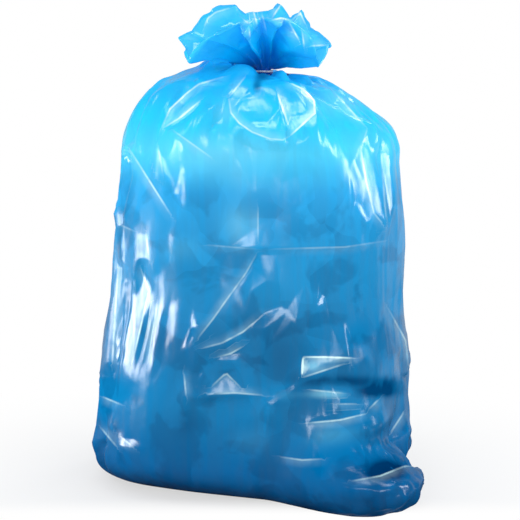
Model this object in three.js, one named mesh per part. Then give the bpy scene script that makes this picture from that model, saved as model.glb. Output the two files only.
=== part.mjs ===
// A filled garbage bag of thin plastic film, tied off at the neck.
// The bag is one closed skin: flat base, rounded bottom edge, creased sides, gathered shoulder,
// pinched neck and the ruffle of loose film above the tie. The tie is a plain ring round the neck.
// Millimetres, +Z up, the front towards -Y, the origin in the middle of the footprint on the floor.
import * as THREE from "three";

// Driving dimensions of the body
const BODY_WIDTH = 510; // across the sides, low down
const BODY_DEPTH = 372; // front to back at the belly
const SIDE_HEIGHT = 556; // floor to the start of the shoulder
const NECK_HEIGHT = 680; // floor to the tie
const BASE_EDGE_HEIGHT = 58; // height of the rounded bottom edge
const BASE_EDGE_INSET = 62; // how far that edge turns in under the bag

// Driving dimensions of the neck, the tie and the ruffle
const NECK_RADIUS = 14;
const NECK_LENGTH = 8; // straight stretch that the tie holds
const TIE_THICKNESS = 3.4;
const TIE_CLEARANCE = 0.3;
const RUFFLE_LENGTH = 118; // loose film from the tie to the rim
const RUFFLE_WALL = 2; // the creased film, drawn thick enough to be solid
const RUFFLE_FLOOR = 0.3; // share of the ruffle's length that is gathered shut

// Depths and widths of the folds
const GATHER_DEPTH = 13; // pleats that run down the shoulder from the neck
const SCALLOP_DEPTH = 15; // the puffed lobe of film on the front of the shoulder
const PUFF_DEPTH = 8; // the raised left of the shoulder
const SAG_DEPTH = 8; // the slack right of the shoulder
const PACKING_CREASE_HEIGHT = 398; // the level crease left by the flat-folded bag
const PACKING_CREASE_DEPTH = 3.5;
const PACKING_CREASE_HALF = 9;
const UPRIGHT_FOLDS = 21; // long upright folds round the sides and the back
const UPRIGHT_DEPTH = 9;
const UPRIGHT_SWAY = 5; // degrees that these folds swing to either side on their way up
const CREASE_DEPTH = 5; // creases across the front and the back
const CREASE_HALF = 30;
const CRUMPLE_DEPTH = 12; // level folds low on the right
const CRUMPLE_PITCH = 46;
const CRUMPLE_HEIGHT = 130;
const SLUMP_REACH = 72; // the filling settled towards the right front foot
const SLUMP_HEIGHT = 190;
const TUCK_INSET = 30; // the left front of the foot is drawn in under the bag
const EAR_REACH = 50; // the sealed corner of the bag, pinched out at the bottom right
const EAR_HEIGHT = 82;
const EAR_HOLLOW_DEPTH = 22; // the film drawn in above that corner
const EAR_HOLLOW_HEIGHT = 112;
const EAR_HOLLOW_HALF = 34;
const BULGE_DEPTH = 7; // soft bumps where the filling presses
const BULGE_RISE = 95; // how fast they change up the bag

// Where those folds lie round the bag, as degrees from the front towards the right, with half their spread
const SCALLOP_AT = { bearing: 8, spread: 25 };
const PUFF_AT = { bearing: -90, spread: 54 };
const SAG_AT = { bearing: 90, spread: 50 };
const CRUMPLE_AT = { bearing: 54, spread: 49 };
const SLUMP_AT = { bearing: 44, spread: 37 };
const TUCK_AT = { bearing: -16, spread: 56 };
const EAR_AT = { bearing: 54, spread: 34 };
const EAR_HOLLOW_AT = { bearing: 60, spread: 42 };

// How many facets
const COLUMNS = 84;
const BASE_RINGS = 3;
const BASE_EDGE_STEPS = 5;
const SIDE_STEPS = 27;
const SHOULDER_STEPS = 15;
const RUFFLE_STEPS = 9;
const RUFFLE_INNER_STEPS = 6;
const TIE_SIDES = 28;

// Colours
const FILM_BLUE = 0x2f9fe0;
const TIE_WHITE = 0xe8edf2;

const TAU = 2 * Math.PI;
const FRONT = -Math.PI / 2;
const radians = THREE.MathUtils.degToRad;
const smooth = THREE.MathUtils.smoothstep;

// A hump of height 1 at the centre that fades to 0 at one width to either side.
function hump(x, centre, width) {
  const d = (x - centre) / width;
  return Math.abs(d) < 1 ? (1 - d * d) ** 2 : 0;
}

// The angle from one bearing to another, between minus and plus half a turn.
function turnFrom(theta, bearing) {
  return THREE.MathUtils.euclideanModulo(theta - bearing + Math.PI, TAU) - Math.PI;
}

// How far a bearing lies from the middle of a fold: 0 in the middle, 1 in size at the end of its spread.
function across(theta, place) {
  return turnFrom(theta, FRONT + radians(place.bearing)) / radians(place.spread);
}

// A curve through evenly spaced values, read from 0 to 1.
function shape(values) {
  const points = values.map((v, i) => new THREE.Vector2(i / (values.length - 1), v));
  const curve = new THREE.SplineCurve(points);
  return (t) => curve.getPoint(THREE.MathUtils.clamp(t, 0, 1)).y;
}

// Outline of the sides from the floor (0) to the shoulder (1), as shares of half the width or depth
const leftShape = shape([1.12, 1.08, 1.035, 0.992, 0.95, 0.91, 0.87]);
const rightShape = shape([0.9, 0.91, 0.945, 0.92, 0.9, 0.92, 0.885]);
const frontShape = shape([1.0, 1.03, 1.02, 0.99, 0.97, 0.95, 0.9]);
const backShape = shape([0.95, 0.99, 1.0, 0.98, 0.97, 0.95, 0.9]);
const twistShape = shape([-17, -14, -9, -5, -2, 0, 0]); // degrees, the foot turned to the right front
const squarenessShape = shape([2.7, 2.6, 2.5, 2.35, 2.25, 2.2, 2.1]);

// Outline of the shoulder from the sides (0) to the neck (1): share of the reach, and of the rise
const shoulderReach = shape([1, 0.984, 0.931, 0.829, 0.68, 0.5, 0.318, 0.148, 0.026]);
const shoulderRise = shape([0, 0.175, 0.357, 0.548, 0.77, 0.935, 1.002, 1.012, 0.987]);
const SHOULDER_TILT = radians(6.5); // the left shoulder stands higher than the right

// One level outline of the body round the neck's axis, drawn in by an inset.
function section(theta, up, inset) {
  const halfWidth = BODY_WIDTH / 2;
  const halfDepth = BODY_DEPTH / 2;
  const c = Math.cos(theta);
  const s = Math.sin(theta);
  const power = 2 / squarenessShape(up);
  const reachX = halfWidth * (c > 0 ? rightShape(up) : leftShape(up)) - inset;
  const reachY = halfDepth * (s > 0 ? backShape(up) : frontShape(up)) - inset;
  const x = reachX * Math.sign(c) * Math.abs(c) ** power;
  const y = reachY * Math.sign(s) * Math.abs(s) ** power;
  return new THREE.Vector2(x, y).rotateAround(new THREE.Vector2(), radians(twistShape(up)));
}

// The gathered neck, a plain circle.
function neckPoint(theta) {
  return new THREE.Vector2(NECK_RADIUS * Math.cos(theta), NECK_RADIUS * Math.sin(theta));
}

// The smooth body without folds. Stage 0 to 1 is the bottom edge, 1 to 2 the sides, 2 to 3 the shoulder.
function smoothBody(theta, stage) {
  if (stage < 1) {
    const quarter = (stage * Math.PI) / 2;
    const z = BASE_EDGE_HEIGHT * (1 - Math.cos(quarter));
    const inset = BASE_EDGE_INSET + TUCK_INSET * hump(across(theta, TUCK_AT), 0, 1);
    const p = section(theta, z / SIDE_HEIGHT, inset * (1 - Math.sin(quarter)));
    return new THREE.Vector3(p.x, p.y, z);
  }
  if (stage < 2) {
    const z = THREE.MathUtils.lerp(BASE_EDGE_HEIGHT, SIDE_HEIGHT, stage - 1);
    const p = section(theta, z / SIDE_HEIGHT, 0);
    return new THREE.Vector3(p.x, p.y, z);
  }
  const t = stage - 2;
  const p = neckPoint(theta).lerp(section(theta, 1, 0), shoulderReach(t));
  const rise = (NECK_HEIGHT - NECK_LENGTH / 2 - SIDE_HEIGHT) * shoulderRise(t);
  const tilt = -Math.tan(SHOULDER_TILT) * p.x * smooth(t, 0, 0.5);
  return new THREE.Vector3(p.x, p.y, SIDE_HEIGHT + rise + tilt);
}

// Outward normal of the smooth body, from two short steps along it.
function bodyNormal(theta, stage) {
  const step = 0.004;
  const here = Math.min(Math.max(stage, step), 3 - step);
  const round = smoothBody(theta + step, here).sub(smoothBody(theta - step, here));
  const along = smoothBody(theta, here + step).sub(smoothBody(theta, here - step));
  return round.cross(along).normalize();
}

// Pleats down the shoulder: rounded crests with sharp valleys, close together at the neck and fewer below.
function gathers(theta, stage) {
  const t = stage - 2;
  const uneven = theta + 0.13 * Math.sin(2 * theta + 1) + 0.06 * Math.sin(5 * theta + 0.4);
  const wide = Math.abs(Math.cos(5 * uneven + 0.3)) - 0.64;
  const narrow = Math.abs(Math.cos(9.5 * uneven)) - 0.64;
  const wideFade = smooth(t, -0.35, 0.45) * (1 - smooth(t, 0.72, 0.95));
  const narrowFade = smooth(t, 0.3, 0.65) * (1 - smooth(t, 0.84, 0.98));
  return GATHER_DEPTH * (wide * wideFade + 0.6 * narrow * narrowFade);
}

// The lobe of film that puffs out over the front of the shoulder and ends in a curved crease.
function scallop(theta, stage) {
  const off = across(theta, SCALLOP_AT);
  const lowEdge = 2.0 + 0.34 * off * off;
  const inside = smooth(stage, lowEdge - 0.02, lowEdge + 0.12) * (1 - smooth(stage, 2.5, 2.88));
  return SCALLOP_DEPTH * inside * hump(off, 0, 1.15);
}

// The left of the shoulder stands up in a puff beside the neck, and the right sags.
function puff(theta, stage) {
  const up = PUFF_DEPTH * hump(across(theta, PUFF_AT), 0, 1);
  const down = SAG_DEPTH * hump(across(theta, SAG_AT), 0, 1);
  return (up - down) * hump(stage, 2.66, 0.3);
}

// The level crease all round the bag where it was folded flat in its pack.
function packingCrease(height) {
  return -PACKING_CREASE_DEPTH * hump(height, PACKING_CREASE_HEIGHT, PACKING_CREASE_HALF);
}

// Long upright folds round the sides and the back, turn about a crest and a hollow, each of its own strength.
// The front is stretched smooth.
function uprightFolds(theta, height) {
  const lines = 2 * UPRIGHT_FOLDS;
  const place = THREE.MathUtils.euclideanModulo((theta / TAU) * lines, lines);
  const first = Math.floor(place);
  const stand = (line) => (line % 2 ? -0.4 : 0.5) + 0.6 * Math.sin(2.4 * line + height / BULGE_RISE);
  const relief = THREE.MathUtils.lerp(stand(first), stand((first + 1) % lines), place - first);
  const stretched = smooth(-Math.sin(theta), 0.55, 0.9);
  return UPRIGHT_DEPTH * relief * (1 - 0.75 * stretched) * (1 - smooth(height, SIDE_HEIGHT, NECK_HEIGHT));
}

// How far the upright folds have swung from the bearing at which they start.
function sway(theta, height) {
  const share = Math.sin(Math.PI * THREE.MathUtils.clamp(height / SIDE_HEIGHT, 0, 1));
  return radians(UPRIGHT_SWAY) * Math.sin(3 * theta + 0.6) * share;
}

// Creases across the front and the back, each from one point to another.
// A point is its place across, as a share of half the width, and its height as a share of the side height.
const FRONT_CREASES = [
  { from: [-0.82, 1.02], to: [-0.56, 0.81] },
  { from: [-0.56, 0.81], to: [-0.4, 0.95] },
  { from: [-0.55, 1.06], to: [-0.2, 0.92] },
  { from: [-0.03, 0.69], to: [-0.38, 0.45] },
  { from: [-0.4, 0.41], to: [0.02, 0.52] },
  { from: [-0.35, 0.27], to: [0.06, 0.28] },
  { from: [0.24, 0.4], to: [0.55, 0.38] },
  { from: [0.18, 0.53], to: [0.3, 0.6] },
  { from: [0.28, 0.2], to: [0.66, 0.24] },
  { from: [0.6, 0.72], to: [0.68, 0.99] },
];
const BACK_CREASES = [
  { from: [-0.7, 0.95], to: [-0.3, 0.8] },
  { from: [-0.3, 0.8], to: [-0.12, 0.98] },
  { from: [0.62, 1.0], to: [0.3, 0.74] },
  { from: [0.1, 0.6], to: [0.52, 0.48] },
  { from: [-0.5, 0.5], to: [-0.08, 0.38] },
  { from: [-0.6, 0.24], to: [-0.2, 0.3] },
  { from: [0.05, 0.22], to: [0.5, 0.28] },
];

function creases(theta, p) {
  const facing = Math.abs(Math.sin(theta));
  const here = new THREE.Vector3(p.x, p.z, 0);
  let relief = 0;
  for (const crease of Math.sin(theta) < 0 ? FRONT_CREASES : BACK_CREASES) {
    const ends = [crease.from, crease.to].map(
      ([across, up]) => new THREE.Vector3((across * BODY_WIDTH) / 2, up * SIDE_HEIGHT, 0),
    );
    const nearest = new THREE.Line3(...ends).closestPointToPoint(here, true, new THREE.Vector3());
    relief = Math.max(relief, hump(nearest.distanceTo(here), 0, CREASE_HALF));
  }
  return CREASE_DEPTH * relief * smooth(facing, 0.1, 0.5);
}

// Level folds low on the right front, where the filling has settled.
function crumples(theta, height) {
  const here = hump(across(theta, CRUMPLE_AT), 0, 1);
  const band = hump(height, CRUMPLE_HEIGHT, 2.2 * CRUMPLE_PITCH);
  const wave = Math.abs(Math.sin((Math.PI * height) / CRUMPLE_PITCH + 1.5 * theta)) - 0.5;
  return CRUMPLE_DEPTH * here * band * wave;
}

// The foot pushed out towards the right front, where the filling has slumped.
function slump(theta, height) {
  const fade = 1 - smooth(height, 0.2 * SLUMP_HEIGHT, SLUMP_HEIGHT);
  return SLUMP_REACH * hump(across(theta, SLUMP_AT), 0, 1) * fade;
}

// The sealed corner, a blunt flap that sticks out beside the right front foot, with the film drawn in above it.
function ear(theta, height) {
  const wide = 1 - smooth(Math.abs(across(theta, EAR_AT)), 0.3, 1);
  const top = 1 - smooth(height, 0.85 * EAR_HEIGHT, EAR_HEIGHT);
  const underside = 0.72 + 0.28 * smooth(height, 0, 0.4 * EAR_HEIGHT);
  const hollow = hump(across(theta, EAR_HOLLOW_AT), 0, 1) * hump(height, EAR_HOLLOW_HEIGHT, EAR_HOLLOW_HALF);
  return EAR_REACH * wide * top * underside - EAR_HOLLOW_DEPTH * hollow;
}

// Soft bumps over the whole bag.
function bulges(theta, height) {
  const turn = height / BULGE_RISE;
  const slow = Math.sin(3 * theta + turn) * Math.sin(turn * 1.3 + 0.8);
  const quick = 0.5 * Math.sin(5 * theta - 1.4 * turn + 2);
  return BULGE_DEPTH * (slow + quick) * (1 - smooth(height, SIDE_HEIGHT, NECK_HEIGHT));
}

// The body with its folds. The flat base keeps its outline, so every fold fades out towards the floor.
function foldedBody(column, stage) {
  const theta = column + sway(column, smoothBody(column, stage).z);
  const p = smoothBody(theta, stage);
  const lift = smooth(p.z, 0, BASE_EDGE_HEIGHT);
  const folds =
    uprightFolds(column, p.z) +
    crumples(theta, p.z) +
    creases(theta, p) +
    bulges(theta, p.z) +
    packingCrease(p.z);
  const upper = gathers(theta, stage) + scallop(theta, stage) + puff(theta, stage);
  const open = 1 - smooth(stage, 2.8, 3);
  const relief = (folds * lift + upper) * open;
  p.addScaledVector(bodyNormal(theta, stage), relief);
  const outward = new THREE.Vector3(Math.cos(theta), Math.sin(theta), 0);
  p.addScaledVector(outward, slump(theta, p.z) + ear(theta, p.z));
  p.z = Math.max(p.z, 0);
  return p;
}

// The ruffle hangs on fold lines round the neck, uneven turns of low crests and tucks that stand up.
// Each line has its bearing and lean in degrees and its length as a share of the ruffle's.
const RUFFLE_FOLDS = [
  { bearing: 0, lean: 22, share: 0.86 },
  { bearing: 12, lean: 20, share: 0.88 },
  { bearing: 24, lean: 33, share: 0.86 },
  { bearing: 37, lean: 38, share: 0.88 },
  { bearing: 50, lean: 46, share: 1.08 },
  { bearing: 62, lean: 42, share: 1 },
  { bearing: 72, lean: 51, share: 1.12 },
  { bearing: 82, lean: 47, share: 1.04 },
  { bearing: 94, lean: 44, share: 1.08 },
  { bearing: 106, lean: 45, share: 1.04 },
  { bearing: 118, lean: 51, share: 1.1 },
  { bearing: 134, lean: 47, share: 1.1 },
  { bearing: 148, lean: 39, share: 1.1 },
  { bearing: 160, lean: 29, share: 1.02 },
  { bearing: 172, lean: 27, share: 1.03 },
  { bearing: 183, lean: 22, share: 1.08 },
  { bearing: 193, lean: 15, share: 0.97 },
  { bearing: 203, lean: 8, share: 0.92 },
  { bearing: 217, lean: 26, share: 0.9 },
  { bearing: 230, lean: 31, share: 0.95 },
  { bearing: 243, lean: 46, share: 0.85 },
  { bearing: 255, lean: 30, share: 0.98 },
  { bearing: 268, lean: 60, share: 0.78 },
  { bearing: 283, lean: 38, share: 0.98 },
  { bearing: 297, lean: 52, share: 0.86 },
  { bearing: 311, lean: 30, share: 0.88 },
  { bearing: 326, lean: 14, share: 0.76 },
  { bearing: 342, lean: 3, share: 0.68 },
];
const LEAN_DROOP = 0.3; // how much of its lean the film loses between the neck and the rim

// Bearing, lean and length of the film at one place round the neck, between two fold lines.
function filmLine(theta) {
  const count = RUFFLE_FOLDS.length;
  const place = THREE.MathUtils.euclideanModulo((theta / TAU) * count, count);
  const first = Math.floor(place);
  const share = 0.5 * (place - first) + 0.5 * smooth(place, first, first + 1);
  const from = RUFFLE_FOLDS[first];
  const to = RUFFLE_FOLDS[(first + 1) % count];
  const turn = turnFrom(radians(to.bearing), radians(from.bearing));
  return {
    bearing: radians(from.bearing) + share * turn,
    lean: radians(THREE.MathUtils.lerp(from.lean, to.lean, share)),
    length: RUFFLE_LENGTH * THREE.MathUtils.lerp(from.share, to.share, share),
  };
}

function ruffle(theta, t) {
  const line = filmLine(theta);
  const lean = line.lean * (1 + LEAN_DROOP * (1 - t));
  const bearing = theta + turnFrom(line.bearing, theta) * smooth(t, 0, 0.6);
  const out = NECK_RADIUS + line.length * t * Math.cos(lean);
  const up = NECK_HEIGHT + NECK_LENGTH / 2 + line.length * t * Math.sin(lean);
  return new THREE.Vector3(out * Math.cos(bearing), out * Math.sin(bearing), up);
}

// The inner face of the ruffle, one film's thickness in from the outer one.
function ruffleInside(theta, t) {
  const step = 0.004;
  const round = ruffle(theta + step, t).sub(ruffle(theta - step, t));
  const along = ruffle(theta, t + step).sub(ruffle(theta, t - step));
  return ruffle(theta, t).addScaledVector(round.cross(along).normalize(), -RUFFLE_WALL);
}

// Rings of points from the middle of the base up the outside, over the rim and down inside the ruffle.
function bagRings() {
  const rings = [];
  const ring = (place) => {
    const points = [];
    for (let i = 0; i < COLUMNS; i++) points.push(place((i / COLUMNS) * TAU));
    rings.push(points);
  };
  for (let i = 1; i <= BASE_RINGS; i++) {
    const share = i / (BASE_RINGS + 1);
    ring((theta) => foldedBody(theta, 0).multiplyScalar(share));
  }
  for (let i = 0; i < BASE_EDGE_STEPS; i++) ring((theta) => foldedBody(theta, i / BASE_EDGE_STEPS));
  for (let i = 0; i < SIDE_STEPS; i++) ring((theta) => foldedBody(theta, 1 + i / SIDE_STEPS));
  for (let i = 0; i < SHOULDER_STEPS; i++) ring((theta) => foldedBody(theta, 2 + i / SHOULDER_STEPS));
  const neck = (theta, z) => new THREE.Vector3(...neckPoint(theta), z);
  ring((theta) => neck(theta, NECK_HEIGHT - NECK_LENGTH / 2));
  ring((theta) => neck(theta, NECK_HEIGHT + NECK_LENGTH / 2));
  for (let i = 1; i <= RUFFLE_STEPS; i++) ring((theta) => ruffle(theta, i / RUFFLE_STEPS));
  for (let i = 0; i <= RUFFLE_INNER_STEPS; i++) {
    const t = THREE.MathUtils.lerp(1, RUFFLE_FLOOR, i / RUFFLE_INNER_STEPS);
    ring((theta) => ruffleInside(theta, t));
  }
  return rings;
}

// A closed skin over the rings, with a point at the middle of the base and one at the bottom of the ruffle.
function skin(rings, firstPole, lastPole) {
  const positions = [firstPole, ...rings.flat(), lastPole].flatMap((p) => p.toArray());
  const at = (row, column) => 1 + row * COLUMNS + (column % COLUMNS);
  const last = 1 + rings.length * COLUMNS;
  const faces = [];
  for (let c = 0; c < COLUMNS; c++) {
    faces.push(0, at(0, c + 1), at(0, c));
    for (let r = 0; r + 1 < rings.length; r++) {
      faces.push(at(r, c), at(r, c + 1), at(r + 1, c + 1));
      faces.push(at(r, c), at(r + 1, c + 1), at(r + 1, c));
    }
    faces.push(last, at(rings.length - 1, c), at(rings.length - 1, c + 1));
  }
  const geometry = new THREE.BufferGeometry();
  geometry.setAttribute("position", new THREE.Float32BufferAttribute(positions, 3));
  geometry.setIndex(faces);
  geometry.computeVertexNormals();
  return geometry;
}

function makeBag() {
  const rings = bagRings();
  const floorOfRuffle = NECK_HEIGHT + (NECK_LENGTH + RUFFLE_FLOOR * RUFFLE_LENGTH) / 2;
  const geometry = skin(rings, new THREE.Vector3(0, 0, 0), new THREE.Vector3(0, 0, floorOfRuffle));
  const film = new THREE.MeshStandardMaterial({ color: FILM_BLUE, roughness: 0.25, metalness: 0 });
  const mesh = new THREE.Mesh(geometry, film);
  mesh.name = "film_bag";
  return mesh;
}

function makeTie() {
  const tube = TIE_THICKNESS / 2;
  const geometry = new THREE.TorusGeometry(NECK_RADIUS + TIE_CLEARANCE + tube, tube, 8, TIE_SIDES);
  const plastic = new THREE.MeshStandardMaterial({ color: TIE_WHITE, roughness: 0.4, metalness: 0 });
  const mesh = new THREE.Mesh(geometry, plastic);
  mesh.name = "neck_tie";
  mesh.position.z = NECK_HEIGHT;
  return mesh;
}

// The pieces share the neck's axis, and the group then puts the footprint's middle on the origin.
function makeTiedBag() {
  const group = new THREE.Group();
  group.add(makeBag(), makeTie());
  const middle = new THREE.Box3().setFromObject(group).getCenter(new THREE.Vector3());
  group.children.forEach((piece) => piece.position.sub(new THREE.Vector3(middle.x, middle.y, 0)));
  return group;
}

export default makeTiedBag();
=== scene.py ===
"""Looks of a filled garbage bag of thin blue film, tied off at the neck, built over its solid frame."""

import math
from collections import namedtuple

import bmesh
import bpy
import numpy as np
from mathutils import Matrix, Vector, geometry


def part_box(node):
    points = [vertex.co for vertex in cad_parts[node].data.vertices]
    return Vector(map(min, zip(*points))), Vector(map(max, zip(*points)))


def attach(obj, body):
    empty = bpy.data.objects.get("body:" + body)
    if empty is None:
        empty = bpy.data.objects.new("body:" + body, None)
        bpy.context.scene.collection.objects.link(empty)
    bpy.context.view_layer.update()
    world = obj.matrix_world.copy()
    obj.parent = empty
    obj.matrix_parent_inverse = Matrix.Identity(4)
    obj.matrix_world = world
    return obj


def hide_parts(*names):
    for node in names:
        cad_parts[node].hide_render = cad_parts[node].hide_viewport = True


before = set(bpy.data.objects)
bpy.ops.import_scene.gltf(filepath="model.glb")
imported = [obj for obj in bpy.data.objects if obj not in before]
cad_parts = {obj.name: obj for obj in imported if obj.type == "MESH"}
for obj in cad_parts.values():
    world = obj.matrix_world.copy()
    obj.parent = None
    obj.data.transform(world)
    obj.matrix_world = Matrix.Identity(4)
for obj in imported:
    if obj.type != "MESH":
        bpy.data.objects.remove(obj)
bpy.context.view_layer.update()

TIE_LOW, TIE_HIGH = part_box("neck_tie")
NECK = (TIE_LOW + TIE_HIGH) / 2

bl_info = {
    "name": "Garbage bag looks",
    "version": (1, 0, 0),
    "blender": (4, 5, 0),
    "location": "3D View > Sidebar > Bag",
    "description": "Film, tie and studio for a filled garbage bag",
    "category": "Object",
}

# The lights: place, target, width, height and power
SOFTBOXES = {
    "left_softbox": ((-1.85, -0.3, 0.25), (0, 0, 0.35), 0.6, 0.4, 10.5),
    "low_left_softbox": ((-1.75, 0.9, 0.12), (0, 0, 0.3), 0.5, 0.3, 2),
    "high_left_softbox": ((-1.5, -0.25, 1.95), (0, 0, 0.6), 0.5, 0.35, 1.8),
    "right_softbox": ((1.8, -0.45, 0.95), (0, 0, 0.55), 0.5, 0.6, 9),
    "back_right_softbox": ((0.9, 1.0, 2.2), (0, 0, 0.6), 0.5, 0.35, 4),
    "top_softbox": ((0.1, -0.35, 2.3), (0, 0, 0.6), 0.9, 0.4, 5),
    "front_softbox": ((-0.25, -2.4, 1.1), (0, 0, 0.4), 1.2, 0.45, 9),
}

# The front drawing: a square seen from the viewing point, measured from its top left corner
DRAWING = 520.0
FOLD_SPACING = 9

SENSOR = 36.0
MILLIMETRE = 0.001

# Scattered crease points: how many go round the bag, their spacing up it in metres, and their seed
Scatter = namedtuple("Scatter", "count tall seed")
BODY_FACETS = Scatter(60, 0.05, 3)
SHOULDER_FACETS = Scatter(66, 0.11, 4)
CRINKLES = Scatter(110, 0.022, 5)
RUFFLE_FACETS = Scatter(32, 0.022, 11)

# How far scattered points stray from even rows, as a share of their spacing, and stay off a laid fold
STRAY = 0.42
FOLD_CLEARANCE = 0.013

# How far chance creases stand out, in metres
CREASE_DEPTH = 0.001
CORNER_DEPTH = 0.004
BACK_DEPTH = 0.002
CRINKLE_DEPTH = 0.00025
RUFFLE_DEPTH = 0.006
BUNCH_DEPTH = 0.009

# The most that the edge of a flat patch is tilted, and how far the patch stands out, in metres
FACET_TILT = 0.01
FACET_RISE = 0.001

# Where parts of the bag begin and where they are complete, in metres
SHOULDER_HEIGHT = (0.54, 0.6)
EMPTY_HEIGHT = (0.4, 0.5)
CORNER_ACROSS = (0.06, 0.14)
CORNER_DEEP = (-0.02, 0.1)
CORNER_TOP = (0.085, 0.12)
BUNCH_INSIDE = (0.015, 0.035)
BUNCH_OUTSIDE = (0.06, 0.12)
RUFFLE_FLARE = (0.01, 0.09)

# How far off the floor and the tie the film comes free, in metres
FREE_OF_FLOOR = (0, 0.04)
CORNER_FREE_OF_FLOOR = (0, 0.014)
FREE_OF_TIE = (0.004, 0.02)

# How squarely film faces the front or the back where it begins to count as that, and where it does wholly
FACING = (0.2, 0.75)

# Rings of points in the base, as shares of the way from its middle to its edge
BASE_STEPS = (0.33, 0.66, 0.86)


def srgb(red, green, blue):
    """A colour given as screen values from 0 to 255, as a linear colour."""
    shares = [value / 255 for value in (red, green, blue)]
    return [s / 12.92 if s <= 0.04045 else ((s + 0.055) / 1.055) ** 2.4 for s in shares]


class FilmSettings(bpy.types.PropertyGroup):
    """Sizes and colours of the film."""

    columns: bpy.props.IntProperty(
        name="Columns", description="Points round the bag", default=264, min=84
    )
    thickness: bpy.props.FloatProperty(
        name="Thickness",
        description="Thickness of the loose film above the tie",
        default=0.0003,
        subtype="DISTANCE",
        unit="LENGTH",
    )
    wrinkle_depth: bpy.props.FloatProperty(
        name="Wrinkle depth",
        description="Furthest that a point of the slack film moves",
        default=0.011,
        subtype="DISTANCE",
        unit="LENGTH",
    )
    stiffness: bpy.props.FloatProperty(
        name="Stiffness", description="How hard the film is to bend", default=1.2
    )
    settle_frames: bpy.props.IntProperty(
        name="Settle frames", description="Length of the film's simulation", default=18
    )
    front_calm: bpy.props.FloatProperty(
        name="Front calm",
        description="How much smoother the front is than the sides",
        default=0.8,
        subtype="FACTOR",
    )
    gloss_roughness: bpy.props.FloatProperty(
        name="Roughness", description="Roughness of the film's gloss", default=0.2, subtype="FACTOR"
    )
    # Partly the film's own paler colour over the empty top, partly painted light from above and through the
    # film
    crown_colour: bpy.props.FloatVectorProperty(
        name="Crown colour",
        description="Film over the empty top of the bag",
        default=srgb(26, 186, 250),
        subtype="COLOR",
    )
    side_colour: bpy.props.FloatVectorProperty(
        name="Side colour",
        description="Film over the filling",
        default=srgb(20, 132, 192),
        subtype="COLOR",
    )
    # Painted shade: the film is painted darker at the floor
    foot_shade_colour: bpy.props.FloatVectorProperty(
        name="Foot colour",
        description="Film at the floor",
        default=srgb(0, 44, 82),
        subtype="COLOR",
    )


class TieSettings(bpy.types.PropertyGroup):
    """Sizes and colour of the tie."""

    plies: bpy.props.IntProperty(name="Plies", description="Strands in the tie", default=2)
    turns: bpy.props.IntProperty(
        name="Turns", description="Twists of the strands round the neck", default=17
    )
    colour: bpy.props.FloatVectorProperty(
        name="Colour", description="Colour of the tie", default=srgb(236, 238, 240), subtype="COLOR"
    )


class StageSettings(bpy.types.PropertyGroup):
    """The viewing point."""

    eye: bpy.props.FloatVectorProperty(
        name="Eye",
        description="Where the camera stands",
        default=(-0.0217, -2.6498, 0.7821),
        subtype="XYZ",
        unit="LENGTH",
    )
    turn: bpy.props.FloatProperty(
        name="Turn",
        description="How far the camera turns to the left",
        default=math.radians(-0.73),
        subtype="ANGLE",
    )
    pitch: bpy.props.FloatProperty(
        name="Pitch",
        description="How far the camera looks down",
        default=math.radians(8.73),
        subtype="ANGLE",
    )
    lens: bpy.props.FloatProperty(
        name="Lens", description="Focal length on a 36 mm sensor, in mm", default=113.94
    )


# The film as rows of points


def cad_rows():
    """The solid film as rows of points, from the edge of the base up to the floor of the loose film."""
    weld = 2e-5
    fewest_spokes = 40
    floor = 1e-5
    bm = bmesh.new()
    bm.from_mesh(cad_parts["film_bag"].data)
    bmesh.ops.remove_doubles(bm, verts=bm.verts, dist=weld)
    hubs = [v for v in bm.verts if len(v.link_edges) > fewest_spokes]
    hub = max(hubs, key=lambda v: v.co.z)

    def beside(vertex):
        return {edge.other_vert(vertex) for edge in vertex.link_edges}

    row = beside(hub)
    seen = {hub} | row
    first = max(row, key=lambda v: v.co.x)
    ordered = [first]
    step = max(beside(first) & row, key=lambda v: v.co.y)
    while step is not first:
        ordered.append(step)
        step = next(iter((beside(step) & row) - set(ordered[-2:])), first)
        if len(ordered) == len(row):
            break
    rows = [ordered]
    while max(v.co.z for v in rows[-1]) > floor:
        outer = [beside(v) - seen for v in rows[-1]]
        row = []
        for here, after in zip(outer, outer[1:] + outer[:1]):
            (shared,) = here & after
            row.append(shared)
        seen.update(row)
        rows.append(row)
    points = np.array([[v.co[:] for v in row] for row in reversed(rows)])
    bm.free()
    return points


def spline_weights(places, count, closed):
    """Weights that read a smooth curve through a row of points at the given places."""
    whole = np.floor(places).astype(int)
    t = places - whole
    parts = (
        (-1, (-t + 2 * t**2 - t**3) / 2),
        (0, (2 - 5 * t**2 + 3 * t**3) / 2),
        (1, (t + 4 * t**2 - 3 * t**3) / 2),
        (2, (t**3 - t**2) / 2),
    )
    weights = np.zeros((len(places), count))
    for shift, part in parts:
        at = whole + shift
        at = at % count if closed else np.clip(at, 0, count - 1)
        np.add.at(weights, (np.arange(len(places)), at), part)
    return weights


def finer(rows, row_places, column_places):
    """The rows read at more places, on smooth curves both ways."""
    along = spline_weights(row_places, rows.shape[0], closed=False)
    around = spline_weights(column_places, rows.shape[1], closed=True)
    return np.einsum("ri,ijk,cj->rck", along, rows, around, optimize=True)


def normals_of(points):
    """Outward direction at each point of the rows."""
    around = np.roll(points, -1, axis=1) - np.roll(points, 1, axis=1)
    along = np.gradient(points, axis=0)
    normal = np.cross(around, along)
    return normal / np.maximum(np.linalg.norm(normal, axis=2, keepdims=True), 1e-12)


def smoothstep(low, high, x):
    """0 below one value, 1 above the other, and a smooth step between."""
    t = np.clip((x - low) / (high - low), 0, 1)
    return t * t * (3 - 2 * t)


def softened(values, across, along):
    """Values over the rows, averaged with their neighbours again and again."""
    for turn in range(across):
        values = (2 * values + np.roll(values, 1, axis=1) + np.roll(values, -1, axis=1)) / 4
    for turn in range(along):
        padded = np.concatenate([values[:1], values, values[-1:]])
        values = (2 * values + padded[:-2] + padded[2:]) / 4
    return values


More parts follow.
